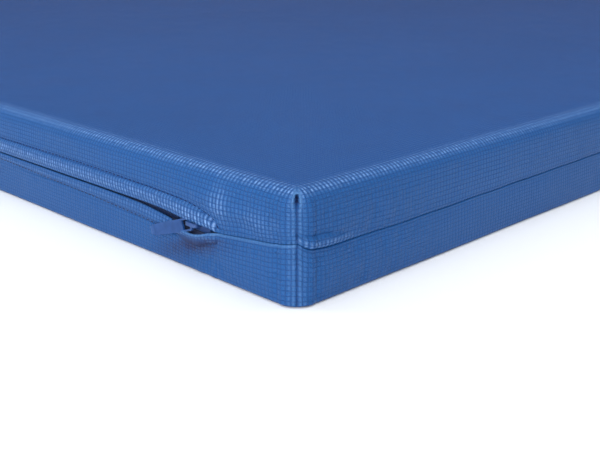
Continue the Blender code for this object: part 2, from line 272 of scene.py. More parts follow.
def seam_heights(plan):
    """The edges of the top and bottom panels at every station."""
    seam = 29.6 + 0.25 * np.sin(plan.along / MM / 47) + 0.15 * np.sin(plan.along / MM / 19)
    s, end = plan.from_corner, plan.side == 1
    seam[end] = end_seam(plan.from_front[end]) + 0.12 * np.sin(plan.from_front[end] / 7)
    front = plan.side == 0
    seam[front] += (28.0 - seam[front]) * (1 - ease(s[front], ZIP_CLOSES, ZIP_CLOSES + 30))
    near = front & (s <= ZIP_OPENS)
    seam[near] = front_seam(s[near])
    upper, lower = seam.copy(), seam.copy()
    zipped = front & (s > ZIP_OPENS) & (s <= ZIP_CLOSES)
    upper[zipped], lower[zipped] = upper_lip(s[zipped]), lower_lip(s[zipped])
    return upper, lower


def off_line(s, z, line):
    """Distance from a sewn line, allowing for its slope."""
    return np.abs(z - line(s)) / np.hypot(1, line(s + 0.5) - line(s - 0.5))


def upper_relief(s, z):
    """How far the top panel's front stands out."""
    sewn, eye = in_zip(s, 2.0), hill(s - 78, 17)
    share = np.clip((z - upper_lip(s)) / np.maximum(upper_stitch(s) - upper_lip(s), 1), 0, 1)
    hem = sewn * ease(upper_stitch(s) - z, -0.4, 1.2)
    strip = hem * (0.45 + 0.9 * np.sin(math.pi * share) + 1.5 * eye * (1 - share) ** 1.2)
    groove = 0.95 * sewn * hill(off_line(s, z, upper_stitch), 0.9)
    swell = 2.3 * hill(s - 60, 17) * hill(z - 41.5, 7.5) + 0.9 * hill(s - 80, 30) * hill(z - 43, 6)
    pinch = 0.8 * hill(s - 40, 15) * hill(z - 34, 5)
    return strip + swell - groove - pinch


def lower_relief(s, z):
    """How far the bottom panel's front stands out."""
    sewn = in_zip(s, 2.0)
    share = np.clip((lower_lip(s) - z) / np.maximum(lower_lip(s) - lower_stitch(s), 1), 0, 1)
    hem = sewn * ease(z - lower_stitch(s), -0.4, 1.2)
    flare = 2.6 * hill(s - 75, 14) * (1 - share) ** 0.7
    strip = hem * (0.25 + 0.5 * np.sin(math.pi * share) + flare)
    groove = 0.55 * sewn * hill(off_line(s, z, lower_stitch), 0.9)
    around, reach = np.arctan2(24 - z, s - 55), np.hypot(24 - z, s - 55)
    gathers = 0.30 * np.sin(around * 16) * hill(reach - 24, 20) * sewn
    hollow = 1.1 * hill(s - 80, 22) * hill(z - 11, 5)
    return strip + gathers - groove - hollow


def tuck_relief(t, z):
    """The fold that the seam allowance pushes out over the seam on the end, close to the corner."""
    crease = 0.9 * (1 - ease(t, 20, 48)) * hill(z - end_crease(t), 1.1)
    band = 0.8 * (1 - ease(t, 26, 44)) * ease(end_crease(t) - z, 0, 2)
    return band - crease


# -------- the covers
# Lengths are in millimetres here too, until a ring of points is placed.

ROUNDING_STEPS = 9
SKIRT_STEPS = 26
SOFT_TOP = 0.8
APEX_Z = 54.0
HEM_RADIUS = 0.75
HANDLE_Z = 31.0
# A handle flattens the cover up to the first distance from its middle, and no more at the second.
PRESSED_Y, PRESSED_Z = (119, 125), (13, 19)
HOLE_DEPTH = 5.0
FIELD_STEPS = (2, 4.5, 8, 12.5, 18, 26, 38, 55, 80, 120, 175, 250, 340, 430)


def hem_profile():
    """(depth, rise) pairs for a lip's turned hem and for a plain seam's tucked edge, from inside."""
    turned, tucked = [(1.5, 6.0), (1.5, 1.6)], [(4.5, 0.10), (2.2, 0.08)]
    for angle in (180, 135, 90, 45, 0):
        a = math.radians(angle)
        turned.append((HEM_RADIUS * (1 - math.cos(a)), HEM_RADIUS * (1 - math.sin(a))))
        tucked.append((1.1 * (angle / 180) ** 1.3, 0.04 + 0.5 * (1 - angle / 180) ** 2))
    return zip(turned, tucked)


def dart_relief(dart, z):
    """The seam allowance under the cloth beside a corner's dart, and the dart's own groove."""
    allowance = 0.55 * (1 - ease(dart, 8.2, 10.6)) - 0.25 * hill(dart - 11.2, 1.3)
    return allowance - 0.6 * hill(dart, 0.6) * (1 - ease(z, APEX_Z + 1.0, APEX_Z + 3.0))


def apex_hole(dart, z):
    """The small hole at the top of a dart, where its two edges meet: 1 in its middle."""
    return np.exp(-((dart / 1.25) ** 4) - ((z - APEX_Z) / 2.2) ** 4)


def crown(edge, shoulder, z, wander):
    """The foam's slight bulge between a panel's sewn edge and its rounded one, with slow ripples."""
    share = np.clip((z - edge) / (shoulder - edge), 0, 1)
    ripple = 0.18 * np.sin(wander / 23 + z / 9) * ease(np.abs(z - edge), 2, 8)
    return 0.5 * np.sin(math.pi * share) + 0.6 * (edge > shoulder) * share**2 + ripple


def rubbed_and_lit_edges(front, s, z, edge, dart, upper):
    """Where the coating is stretched pale round the hole, with painted highlights along the dart and on the
    bottom panel's sewn edges, where they catch the light.
    """
    off_edge = np.abs(z - edge)
    # Beside the dart: a painted highlight on the lit cells. Round the hole: the coating stretched pale.
    pale = 0.25 * hill(dart - 1.6, 0.7) + 0.9 * hill(dart - 1.9, 0.7) * hill(z - APEX_Z - 0.5, 3)
    pale = pale + 0.9 * hill(dart, 1.9) * hill(z - APEX_Z - 3.3, 0.9)
    if not upper:
        # A painted highlight on the bottom panel's sewn edge and flared lip, where they stand out and catch
        # the light.
        pale = pale + 0.6 * front * (s < 62) * hill(off_edge - 0.6, 0.7)
        pale = pale + 0.8 * front * hill(s - 72, 13) * hill(off_edge - 0.5, 1.0)
    return pale


def painted_shadow_under_zip(front, s, z):
    """Painted shadow under the zip's open end: a soft lens of shade below the slider and pull, and a dark
    line just under the flared bottom lip.
    """
    down, over = (s - 54) * 0.972 + (20 - z) * 0.236, (s - 54) * 0.236 - (20 - z) * 0.972
    shadow_lens = 1.2 * hill(down - 22, 23) * hill(over - 0.3, 4.4)
    tail = 0.45 * hill(down - 42, 20) * hill(over + 4, 5)
    # A painted shadow line just under the flared bottom lip.
    under_lip = 0.7 * hill(down - 14, 12) * hill(over - 2.6, 1.0)
    return front * (shadow_lens + tail + under_lip)


def raised_glints(front, end, s, t, z, edge, dart, upper):
    """Where painted highlights go: the tops of the threads where the cloth is drawn tight over something and
    catches the light.
    """
    if not upper:
        return 0.3 * hill(dart - 2.6, 1.2) + 0.3 * front * in_zip(s) * hill(edge - z - 2.5, 2)
    middle = (upper_lip(s) + upper_stitch(s)) / 2
    strip = 0.7 * in_zip(s) * hill(z - middle, 3.6)
    eye = 1.1 * hill(s - 70, 11) * hill(z - upper_lip(s) - 3, 2.2) * in_zip(s)
    swell = 0.75 * hill(s - 55, 6) * hill(z - 43, 8) + 0.35 * hill(s - 28, 14) * hill(z - 39, 6)
    band = 0.7 * (1 - ease(t, 28, 50)) * hill(z - end_seam(t) - 2.2, 1.6)
    rounding = 0.9 * hill(z - 57.8, 1.5) * ease(dart, 1.5, 5) * (1 - 0.45 * ease(dart, 250, 500))
    return rounding + front * (strip + eye + swell) + end * band + 0.3 * hill(dart - 2.6, 1.2)


def cover_panel(plan, upper):
    """Points, faces and UVs of a section's top or bottom panel, from its hem in to its middle."""
    way, relief = (1, upper_relief) if upper else (-1, lower_relief)
    edge = seam_heights(plan)[0 if upper else 1]
    level, rim = (TOP_Z / MM, TOP_RADIUS / MM) if upper else (0.0, BASE_RADIUS / MM)
    soft = SOFT_TOP if upper else 0.0
    shoulder = level - way * rim
    stretch = WEAVE / WEAVE_DROP
    round_length = rim * math.pi / 2
    fall = abs(shoulder - 29.5)
    front, end = plan.side == 0, plan.side == 1
    s = np.where(front, plan.from_corner, 20.0)
    lips = np.where(front, in_zip(s), 0.0)
    wander = plan.points.sum(1) / MM
    dart = plan.dart / MM
    lap = way * np.where(end, 0.4, -0.5) * ease(dart, 0.5, 4) * (1 - lips)
    handle = end * (1 - ease(np.abs(plan.points[:, 1]) / MM, *PRESSED_Y))
    way_round = np.where(plan.side % 2 == 0, 1.0, -1.0)
    rings, drops, rub_and_highlight, painted_shade, glint = [], [], [], [], []

    def ring(out, z, length, flat=0.0):
        rings.append(placed_ring(plan.points + plan.normals * (out * MM)[:, None], z))
        drops.append((np.broadcast_to(length * stretch - rim, (plan.count,)), flat))
        rub_and_highlight.append(rubbed_and_lit_edges(front, s, z, edge, dart, upper))
        # Painted shade: dark inside the hole at the top of the dart and along the dart's groove; on the
        # bottom panel also the painted shadow under the zip's open end.
        groove = 0.5 * hill(dart, 0.7) * (z < APEX_Z + 2)
        painted_shade.append(1.2 * apex_hole(dart, z) + groove + (0 if upper else painted_shadow_under_zip(front, s, z)))
        # Painted highlights on the thread tops; the sign says which way the threads run.
        shine = raised_glints(front, end, s, plan.from_front, z, edge, dart, upper)
        glint.append(way_round * np.clip(shine, 0, 1.3))

    for turned, tucked in hem_profile():
        depth, rise = (lips * t + (1 - lips) * p for t, p in zip(turned, tucked))
        out = relief(s, edge + way * HEM_RADIUS) * front + dart_relief(dart, edge) * (1 - lips)
        ring(out - depth, edge + way * rise, round_length + fall + depth)

    for i in range(1, SKIRT_STEPS + 1):
        share = i / (SKIRT_STEPS + 1)
        start = edge + way * (HEM_RADIUS + 0.2)
        z = start + (shoulder - start) * share
        off_edge = np.abs(z - edge)
        out = relief(s, z) * front + dart_relief(dart, z) + crown(edge, shoulder, z, wander)
        out = out + lap * hill(off_edge, 4.5) - 0.4 * (1 - lips) * hill(off_edge, 1.3)
        if upper:
            out = out + end * tuck_relief(plan.from_front, z)
        pressed = handle * (1 - ease(np.abs(z - HANDLE_Z), *PRESSED_Z))
        out = out * (1 - pressed) - 0.1 * pressed - HOLE_DEPTH * apex_hole(dart, z)
        ring(out, z, round_length + fall * (1 - share))

    for i in range(ROUNDING_STEPS + 1):
        share = i / ROUNDING_STEPS
        fade = math.cos(math.pi / 2 * share)
        z = shoulder + way * (rim - soft) * math.sin(math.pi / 2 * share)
        out = relief(s, np.full(plan.count, z)) * front * fade**1.5 + dart_relief(dart, z) * fade**2
        out = out + crown(edge, shoulder, z, wander) * fade - HOLE_DEPTH * apex_hole(dart, z)
        ring(out - rim * (1 - fade), z, round_length * (1 - share), share**2)

    brim = rings[-1][:, :2]
    for step in FIELD_STEPS:
        place = drawn_in(brim, step)
        wave = 0.16 * np.sin(place[:, 0] * 41 + 1.3) * np.sin(place[:, 1] * 37 + 0.4) * ease(step, 6, 60)
        z = level - way * soft * math.exp(-step / 9) + (wave if upper else 0.0)
        rings.append(placed_ring(place, z))
    blank = np.zeros(len(FIELD_STEPS) * plan.count + 1)
    marks = {"rub_and_highlight": rub_and_highlight, "painted_shade": painted_shade, "glint": glint}
    marks = {mark: np.concatenate([*values, blank]) for mark, values in marks.items()}
    return plan.lattice(rings, drops, (*CENTRE, level * MM), way), marks


# How a skirt settles: its cloth is longer than its place by a share, with a pressure behind it, and no
# point moves further than the cap. The moves fade between two distances from a corner.
SLACK = 0.007
FOAM_PUSH = 4.0
SETTLE_FRAMES = 20
SETTLE_CAP = 1.3 * MM
CALM = (55, 130)
# The rings that hem_profile makes, ahead of the skirt's own.
HEM_RINGS = 7


def held_points(plan, places, upper):
    """Which points of a skirt are sewn down, or pressed by a handle or by the other section."""
    z = places[:, :, 2] / MM
    s = plan.from_corner
    sewn = z < upper_stitch(s) + 1.3 if upper else z > lower_stitch(s) - 1.3
    held = (plan.side == 0) & (in_zip(s) > 0) & sewn
    held |= (plan.dart / MM < 2) | (plan.side == 3)
    by_handle = np.abs(places[:, :, 1]) < PRESSED_Y[1] * MM
    held |= (plan.side == 1) & by_handle & (np.abs(z - HANDLE_Z) < PRESSED_Z[1])
    held[0] = held[-1] = True
    return held


def simulated(start, faces, held):
    """Where a sheet's points go in a cloth simulation: slack cloth, with the foam's push behind it."""
    mesh = bpy.data.meshes.new("slack_skirt")
    mesh.from_pydata([tuple(p) for p in start], [], faces)
    skirt = link(bpy.data.objects.new("slack_skirt", mesh))
    skirt.vertex_groups.new(name="held").add(np.flatnonzero(held).tolist(), 1.0, "REPLACE")
    cloth = skirt.modifiers.new("cloth", "CLOTH")
    cloth.settings.vertex_group_mass = "held"
    cloth.settings.use_pressure = True
    cloth.settings.uniform_pressure_force = FOAM_PUSH
    cloth.settings.shrink_min = -SLACK
    cloth.settings.bending_stiffness = 0.05
    cloth.settings.effector_weights.gravity = 0.0
    cloth.collision_settings.use_collision = False
    for moment in range(1, SETTLE_FRAMES + 1):
        bpy.context.scene.frame_set(moment)
    result = skirt.evaluated_get(bpy.context.evaluated_depsgraph_get()).data
    end = np.empty(len(start) * 3, np.float32)
    result.vertices.foreach_get("co", end)
    bpy.data.objects.remove(skirt)
    bpy.data.meshes.remove(mesh)
    bpy.context.scene.frame_set(1)
    return end.reshape(-1, 3)


def settled(plan, points, upper):
    """A panel's points with its skirt simulated, its moves capped and calmed away from the corners."""
    first, last, count = HEM_RINGS - 1, HEM_RINGS + SKIRT_STEPS + 1, plan.count
    start = points[first * count:last * count]
    faces = [face[::1 if upper else -1] for face in ring_faces(last - first, count)]
    held = held_points(plan, start.reshape(-1, count, 3), upper)
    move = simulated(start, faces, held) - start
    length = np.linalg.norm(move, axis=1, keepdims=True) + 1e-9
    calm = np.tile(1 - 0.85 * ease(plan.dart / MM, *CALM), last - first)[:, None]
    points = points.copy()
    points[first * count:last * count] += move / length * SETTLE_CAP * np.tanh(length / SETTLE_CAP) * calm
    return points


def mirrored(points, faces, uvs, sign):
    """A section's mesh data for its own side of the fold."""
    if sign > 0:
        return points, faces, uvs
    ends = np.cumsum([len(f) for f in faces])
    turned = []
    for face, last in zip(faces, ends):
        turned += uvs[last - len(face):last][::-1]
    return np.asarray(points) * (-1, 1, 1), [f[::-1] for f in faces], [(-u, v) for u, v in turned]


def thicken(obj, wall):
    """A wall behind a sheet's visible side."""
    solid = obj.modifiers.new("wall", "SOLIDIFY")
    solid.thickness = wall
    solid.offset = -1.0
    solid.use_even_offset = False


def build_covers(finish):
    plan = Plan()
    for upper, name in ((True, "cover_top"), (False, "cover_bottom")):
        (points, *rest), marks = cover_panel(plan, upper)
        made = settled(plan, points, upper), *rest
        for side, sign in SIDES:
            points, faces, uvs = mirrored(*made, sign)
            obj = mesh_object(f"{name}_sewn_{side}", points, faces, finish, uvs)
            for mark, values in marks.items():
                obj.data.attributes.new(mark, "FLOAT", "POINT").data.foreach_set("value", values)
            thicken(obj, SHEET_WALL)
            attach(obj, f"section_{side}")
            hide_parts(f"{name}_{side}")


# -------- the foam

FOAM_INSET = 1.5
FOAM_RADIUS = 9.0
CHANNEL_DEPTH = 6.5


def foam_profile(base, top):
    """(depth, height) pairs up the foam's side, rounded below and above."""
    steps = 6
    profile = []
    for i in range(steps + 1):
        a = math.radians(90 * i / steps)
        profile.append((FOAM_RADIUS * (1 - math.sin(a)), base + FOAM_RADIUS * (1 - math.cos(a))))
    rounded = [(depth, top + base - z) for depth, z in reversed(profile)]
    profile += [(0, z) for z in np.linspace(base + FOAM_RADIUS, top - FOAM_RADIUS, 22)[1:-1]]
    return profile + rounded


def build_foam(finish):
    """The foam block inside each cover: the cover's own outline, drawn in, with the zip's channel."""
    plan = Plan(coarseness=4)
    base, top = FOAM_INSET, TOP_Z / MM - FOAM_INSET
    behind_zip = (plan.side == 0) * in_zip(plan.from_corner, 6)
    corner = 4.5 * hill(plan.dart / MM, 4)
    rings = []
    for depth, z in foam_profile(base, top):
        channel = CHANNEL_DEPTH * behind_zip * float(hill(z - ZIP_Z / MM, 9))
        place = plan.points - plan.normals * ((FOAM_INSET + depth + channel + corner) * MM)[:, None]
        rings.append(placed_ring(place, z))
    for ring, z in ((rings[0], base), (rings[-1], top)):
        inner = [placed_ring(drawn_in(ring[:, :2], step), z) for step in (6, 20, 50, 120, 250, 400)]
        rings = rings + inner if z == top else inner[::-1] + rings
    points = np.vstack([*rings, [(*CENTRE, base * MM)], [(*CENTRE, top * MM)]])
    faces = ring_faces(len(rings), plan.count)
    last = (len(rings) - 1) * plan.count
    for j in range(plan.count):
        k = (j + 1) % plan.count
        faces += [[k, j, len(points) - 2], [last + j, last + k, len(points) - 1]]
    for block in add_riding("foam_block", (points, faces), finish, "foam_core"):
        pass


# -------- thread, coils and webbing

def tube(path, radius, sides=6):
    """Points and faces of a round closed tube along a path; radius may be a list."""
    path = [Vector(p) for p in path]
    radii = radius if hasattr(radius, "__len__") else [radius] * len(path)
    points = []
    up = Vector((0, 0, 1))
    for i, at in enumerate(path):
        way = (path[min(i + 1, len(path) - 1)] - path[max(i - 1, 0)]).normalized()
        across = way.cross(up)
        if across.length < 1e-3:
            across = way.cross(Vector((1, 0, 0)))
        across.normalize()
        up = across.cross(way).normalized()
        for k in range(sides):
            a = 2 * math.pi * k / sides
            points.append(at + (across * math.cos(a) + up * math.sin(a)) * radii[i])
    last = len(points) - sides
    caps = [list(range(sides))[::-1], list(range(last, last + sides))]
    return points, ring_faces(len(path), sides) + caps


def joined(parts):
    """One list of points and one of faces from several (points, faces) parts."""
    points, faces = [], []
    for p, f in parts:
        faces += [[i + len(points) for i in face] for face in f]
        points += list(p)
    return points, faces


def stitches(place_at, length, pitch, gap, radius, sink=0.35):
    """Separate stitches along a line, place_at(d) giving (point, outward normal) at a length d."""
    parts = []
    shape = ((0.0, -1.0, 0.5), (0.14, 0.1, 0.85), (0.5, 0.55, 1.0), (0.86, 0.1, 0.85), (1.0, -1.0, 0.5))
    for i in range(int(length / pitch)):
        start = i * pitch + gap / 2
        path, radii = [], []
        for share, lift, size in shape:
            point, normal = place_at(start + (pitch - gap) * share)
            path.append(Vector(point) + Vector(normal) * radius * (lift - sink))
            radii.append(radius * size)
        parts.append(tube(path, radii))
    return joined(parts)


def add_riding(name, parts, finish, replaced="", sides=SIDES):
    """A piece from (points, faces) that rides on each of the sections, mirrored for the left one."""
    points, faces = np.array([tuple(p) for p in parts[0]]), parts[1]
    pieces = []
    for side, sign in sides:
        obj = mesh_object(f"{name}_{side}", points * (sign, 1, 1), [f[::sign] for f in faces], finish)
        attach(obj, f"section_{side}")
        if replaced:
            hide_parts(f"{replaced}_{side}")
        pieces.append(obj)
    return pieces


def build_zip_stitches(upper_finish, lower_finish):
    """The two rows of thread that hold the zip's tapes to the hems."""
    rows = (
        ("upper", upper_stitch, upper_relief, upper_lip, (TOP_Z - TOP_RADIUS) / MM, upper_finish, 57.2),
        ("lower", lower_stitch, lower_relief, lower_lip, BASE_RADIUS / MM, lower_finish, 58.6),
    )
    for name, line, relief, edge, shoulder, finish, first in rows:
        places = [first]
        while places[-1] < ZIP_CLOSES - 2:
            s = places[-1]
            places.append(s + 0.5 / math.hypot(1, float(line(s + 0.2) - line(s)) / 0.2))
        lengths = 0.5 * np.arange(len(places))

        def place_at(d):
            s = float(np.interp(d / MM, lengths, places))
            z = float(line(s))
            out = relief(s, z) + crown(edge(s), shoulder, z, (OUTER_U + FRONT_Y) / MM - s)
            return (OUTER_U - s * MM, FRONT_Y - float(out) * MM, z * MM), (0, -1, 0)

        made = stitches(place_at, lengths[-1] * MM, pitch=3.9 * MM, gap=0.9 * MM, radius=0.38 * MM)
        add_riding(f"zip_thread_{name}", made, finish)


COIL_PITCH = 1.3 * MM
COIL_WIRE = 0.24 * MM
COIL_DEPTH = 0.42 * MM
TURN_STEPS = 8


def build_coils(finish):
    """The zip's two coils: one wound filament on each tape, each turn lying in the other's gaps."""
    depth = (COIL_LOW[0][1] + COIL_LOW[1][1]) / 2
    middle = (COIL_HIGH[0][2] + COIL_HIGH[1][2]) / 2 - ZIP_Z
    reach = 0.72 * (middle + 0.05 * MM)
    start, end = COIL_LOW[0][0], COIL_LOW[1][0]
    turns = int((end - start) / COIL_PITCH)
    for name, way in (("upper", 1), ("lower", -1)):
        path = []
        for i in range(turns * TURN_STEPS):
            a = 2 * math.pi * i / TURN_STEPS + (math.pi if way < 0 else 0)
            x = start + COIL_PITCH * i / TURN_STEPS
            rise = middle - 0.35 * MM - reach * math.cos(a)
            path.append((x, depth + COIL_DEPTH * math.sin(a), ZIP_Z + way * rise))
        winding = tube(path, COIL_WIRE, sides=5)
        add_riding(f"zip_winding_{name}", winding, finish, f"zip_coil_{name}")


# -------- the hinge strip

LEAF_LOW, LEAF_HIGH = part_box("hinge_leaf_right")
STRIP_ROWS = (3.0, 7.5)


def build_hinge_strip(finish, thread):
    """The strip of cover cloth sewn over the fold, with a hem and two rows of stitches a side."""
    half = LEAF_HIGH[0]
    front, back = LEAF_LOW[1], LEAF_HIGH[1]
    wall = LEAF_HIGH[2] - LEAF_LOW[2]
    across = np.concatenate([np.linspace(-half, -6 * MM, 22)[:-1], np.linspace(-6 * MM, 6 * MM, 17),
                             np.linspace(6 * MM, half, 22)[1:]])
    length = np.linspace(front, back, 330)

    def height(x, y):
        off_hem = (half - abs(x)) / MM
        hem = 0.25 * (1 - float(ease(off_hem, 8.6, 10.2)))
        rows = 0.45 * sum(float(hill(off_hem - row, 0.8)) for row in STRIP_ROWS)
        sag = 1.1 * float(hill(x / MM, 3.6)) * (1 + 0.12 * math.sin(y / MM / 31))
        pucker = 0.10 * math.sin(y / MM / 2.9) * float(hill(off_hem - 5, 3.5))
        return LEAF_HIGH[2] + (hem - rows - sag + pucker - 0.25) * MM

    points = [(x, y, height(x, y)) for y in length for x in across]
    width = len(across)
    starts = [row + i for row in range(0, len(points) - width, width) for i in range(width - 1)]
    faces = [[k, k + 1, k + width + 1, k + width] for k in starts]
    uvs = [points[k][:2] for face in faces for k in face]
    strip = mesh_object("hinge_strip", points, faces, finish, uvs)
    thicken(strip, wall)
    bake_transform(strip)
    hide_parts("hinge_leaf_right", "hinge_leaf_left")

    rows = []
    for row in STRIP_ROWS:
        x = half - row * MM

        def place_at(d):
            y = front + 3 * MM + d
            return (x, y, height(x, y) + 0.1 * MM), (0, 0, 1)

        run = back - front - 6 * MM
        rows.append(stitches(place_at, run, pitch=3.6 * MM, gap=0.9 * MM, radius=0.33 * MM))
    threads = add_riding("hinge_thread", joined(rows), thread)


# -------- the carry handles

GRIP_LOW, GRIP_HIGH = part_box("handle_grip_right")
SEWN_LOW, SEWN_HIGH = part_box("handle_end_back_right")
WEBBING = 2.2 * MM
EDGE_DEPTH, EDGE_RISE = 0.9 * MM, 1.1 * MM
SEWN_LENGTH = 40 * MM
STITCH_BOX = (15 * MM, 9 * MM)
STRAP_Z = (GRIP_LOW[2] + GRIP_HIGH[2]) / 2
STRAP_HALF = (GRIP_HIGH[2] - GRIP_LOW[2]) / 2
STRAP_REACH = SEWN_HIGH[1]
STRAP_SEWN = SEWN_LOW[0] + WEBBING / 2 - OUTER_U
STRAP_BOW = GRIP_HIGH[0] - OUTER_U - STRAP_SEWN - WEBBING / 2


def strap_offset(y):
    """How far the middle of the webbing stands off the section's end."""
    inside = min(abs(y) / (STRAP_REACH - SEWN_LENGTH), 1.0)
    return STRAP_SEWN + STRAP_BOW * math.cos(math.pi / 2 * inside) ** 2


def strap_outline():
    """(depth, rise) pairs round the webbing's thickness and width, with softly rounded edges."""
    outline = []
    for corner, turn in (((1, 1), 0), ((-1, 1), 90), ((-1, -1), 180), ((1, -1), 270)):
        for step in (0, 30, 60, 90):
            a = math.radians(turn + step)
            outline.append((corner[0] * (WEBBING / 2 - EDGE_DEPTH) + EDGE_DEPTH * math.cos(a),
                            corner[1] * (STRAP_HALF - EDGE_RISE) + EDGE_RISE * math.sin(a)))
    flat = np.linspace(EDGE_RISE - STRAP_HALF, STRAP_HALF - EDGE_RISE, 9)[1:-1]
    return outline[:8] + [(-WEBBING / 2, -z) for z in flat] + outline[8:] + [(WEBBING / 2, z) for z in flat]


def strap_shape():
    """Points, faces and UVs of the webbing, from one sewn end to the other."""
    stations = np.linspace(-STRAP_REACH, STRAP_REACH, 119)
    outline = strap_outline()
    count = len(outline)
    around = [0.0]
    for a, b in zip(outline, outline[1:] + outline[:1]):
        around.append(around[-1] + math.dist(a, b))
    points, along = [], [0.0]
    for i, y in enumerate(stations):
        ahead = (strap_offset(y + MM / 10) - strap_offset(y - MM / 10)) / (MM / 5)
        normal = Vector((1, -ahead)).normalized()
        if i:
            before = stations[i - 1]
            along.append(along[-1] + math.hypot(y - before, strap_offset(y) - strap_offset(before)))
        cupped = 0.35 * MM * float(hill(y / MM, 45))
        for depth, rise in outline:
            cup = cupped * (rise / STRAP_HALF) ** 2
            at = Vector((OUTER_U + strap_offset(y), y)) + normal * (depth - cup)
            points.append((at.x, at.y, STRAP_Z + rise))
    faces, uvs = [], []
    for i in range(len(stations) - 1):
        here, there = i * count, (i + 1) * count
        for k in range(count):
            n = (k + 1) % count
            faces.append([here + n, there + n, there + k, here + k])
            uvs += [(along[i], around[k + 1]), (along[i + 1], around[k + 1])]
            uvs += [(along[i + 1], around[k]), (along[i], around[k])]
    faces += [list(range(count)), list(range(len(points) - count, len(points)))[::-1]]
    uvs += [(0.0, 0.0)] * (2 * count)
    return points, faces, uvs


def strap_seams():
    """The thread of a crossed box on each sewn end."""
    box_y, box_z = STITCH_BOX
    corners = [(-box_y, -box_z), (box_y, -box_z), (box_y, box_z), (-box_y, box_z)]
    lines = [*zip(corners, corners[1:] + corners[:1]), corners[::2], corners[1::2]]
    seams = []
    for end_way in (1, -1):
        middle_y = end_way * (STRAP_REACH - SEWN_LENGTH / 2)
        for a, b in lines:
            a, b = Vector(a), Vector(b)
            run = (b - a).length

            def place_at(d):
                at = a + (b - a) * (d / run)
                return (OUTER_U + STRAP_SEWN + WEBBING / 2, middle_y + at.x, STRAP_Z + at.y), (1, 0, 0)

            seams.append(stitches(place_at, run, pitch=3.0 * MM, gap=0.7 * MM, radius=0.36 * MM, sink=0.1))
    return joined(seams)


def build_handles(finish, thread):
    """A webbing handle on each outer end, its two ends sewn flat to the cover with a crossed box."""
    shape, seams = strap_shape(), strap_seams()
    for side, sign in SIDES:
        points, faces, uvs = mirrored(*shape, sign)
        strap = mesh_object(f"handle_strap_{side}", points, faces, finish, uvs)
        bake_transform(strap)
        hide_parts(f"handle_grip_{side}", f"handle_end_front_{side}", f"handle_end_back_{side}")
        add_riding("handle_thread", seams, thread, sides=[(side, sign)])


# -------- materials

class Finish:
    """A Principled material with shorthand for adding nodes to it."""

    def __init__(self, name, colour, roughness, **constants):
        self.material = bpy.data.materials.new(name)
        self.material.use_nodes = True
        self.tree = self.material.node_tree
        self.shader = self.tree.nodes["Principled BSDF"]
        self.material.diffuse_color = (*colour, 1)
        self.done(Base_Color=(*colour, 1), Roughness=roughness, **constants)

    def feed(self, node, inputs):
        for key, value in inputs.items():
            if isinstance(value, bpy.types.NodeSocket):
                self.tree.links.new(value, node.inputs[key])
            else:
                node.inputs[key].default_value = value

    def add(self, kind, inputs, **settings):
        node = self.tree.nodes.new("ShaderNode" + kind)
        for key, value in settings.items():
            setattr(node, key, value)
        self.feed(node, inputs)
        return node

    def sheet(self):
        return self.add("UVMap", {}, uv_map="sheet").outputs[0]

    def solid(self):
        return self.add("TexCoord", {}).outputs["Object"]

    def math(self, operation, a, b=0.0, clamp=False):
        return self.add("Math", {0: a, 1: b}, operation=operation, use_clamp=clamp).outputs[0]

    def times(self, a, b, clamp=False):
        return self.math("MULTIPLY", a, b, clamp)

    def axes(self, place):
        return self.add("SeparateXYZ", {0: place}).outputs

    def remap(self, value, low, high, to_low=0.0, to_high=1.0):
        return self.add("MapRange", {0: value, 1: low, 2: high, 3: to_low, 4: to_high}).outputs[0]

    def noise(self, vector, scale, detail=2.0):
        return self.add("TexNoise", {"Vector": vector, "Scale": scale, "Detail": detail}).outputs[0]

    def mix(self, share, a, b):
        a, b = ((*c, 1) if isinstance(c, tuple) else c for c in (a, b))
        return self.add("Mix", {0: share, 6: a, 7: b}, data_type="RGBA").outputs[2]

    def ridges(self, place, pitch):
        """Rounded ridges a pitch apart along a coordinate: 0 in the grooves and 1 on their tops."""
        return self.math("ABSOLUTE", self.math("SINE", self.times(place, math.pi / pitch)))

    def mark(self, name):
        """A mask that a cover's points carry."""
        return self.add("Attribute", {}, attribute_name=name).outputs["Fac"]

    def bump(self, height, distance, strength=1.0, under=None):
        inputs = {"Strength": strength, "Distance": distance, "Height": height}
        if under is not None:
            inputs["Normal"] = under
        return self.add("Bump", inputs).outputs[0]

    def done(self, **links):
        self.feed(self.shader, {key.replace("_", " "): value for key, value in links.items()})
        return self.material


def wandering_axes(f, sheet):
    """The two sheet coordinates, with the slight wander of real threads."""
    wander = f.add("TexNoise", {"Vector": sheet, "Scale": 55.0, "Detail": 1.0}).outputs[1]
    shift = f.add("VectorMath", {0: wander, 1: (-0.5, -0.5, -0.5)}, operation="ADD").outputs[0]
    shift = f.add("VectorMath", {0: shift, "Scale": 0.50 * MM}, operation="SCALE").outputs[0]
    return f.axes(f.add("VectorMath", {0: sheet, 1: shift}, operation="ADD").outputs[0])


def woven_cells(f, axes, pitch, power):
    """(signed, raised) squares a pitch apart: the signed ones change sign from each to the next."""
    waves = [f.math("SINE", f.times(axes[i], math.pi / pitch)) for i in (0, 1)]
    signed = f.times(*waves)
    return signed, f.math("POWER", f.math("ABSOLUTE", signed), power)


def painted_highlight_strokes(f, sheet, axes):
    """Painted highlights: short pale strokes on the thread tops where the glint mark says that the cloth is
    drawn tight and catches the light.
    """
    glint = f.mark("glint")
    tops = [f.ridges(axes[i], WEAVE) for i in (0, 1)]
    strokes = []
    for along, across, way in ((0, 1, 1.0), (1, 0, -1.0)):
        broken = f.remap(tops[across], 0.0, 0.8, 0.25, 1.0)
        stroke = f.times(f.math("POWER", tops[along], 3.0), broken)
        strokes.append(f.times(stroke, f.times(glint, way, clamp=True)))
    uneven = f.remap(f.noise(sheet, 330.0, 2.0), 0.3, 0.7, 0.15, 1.6)
    return f.times(f.math("ADD", *strokes), uneven, clamp=True)


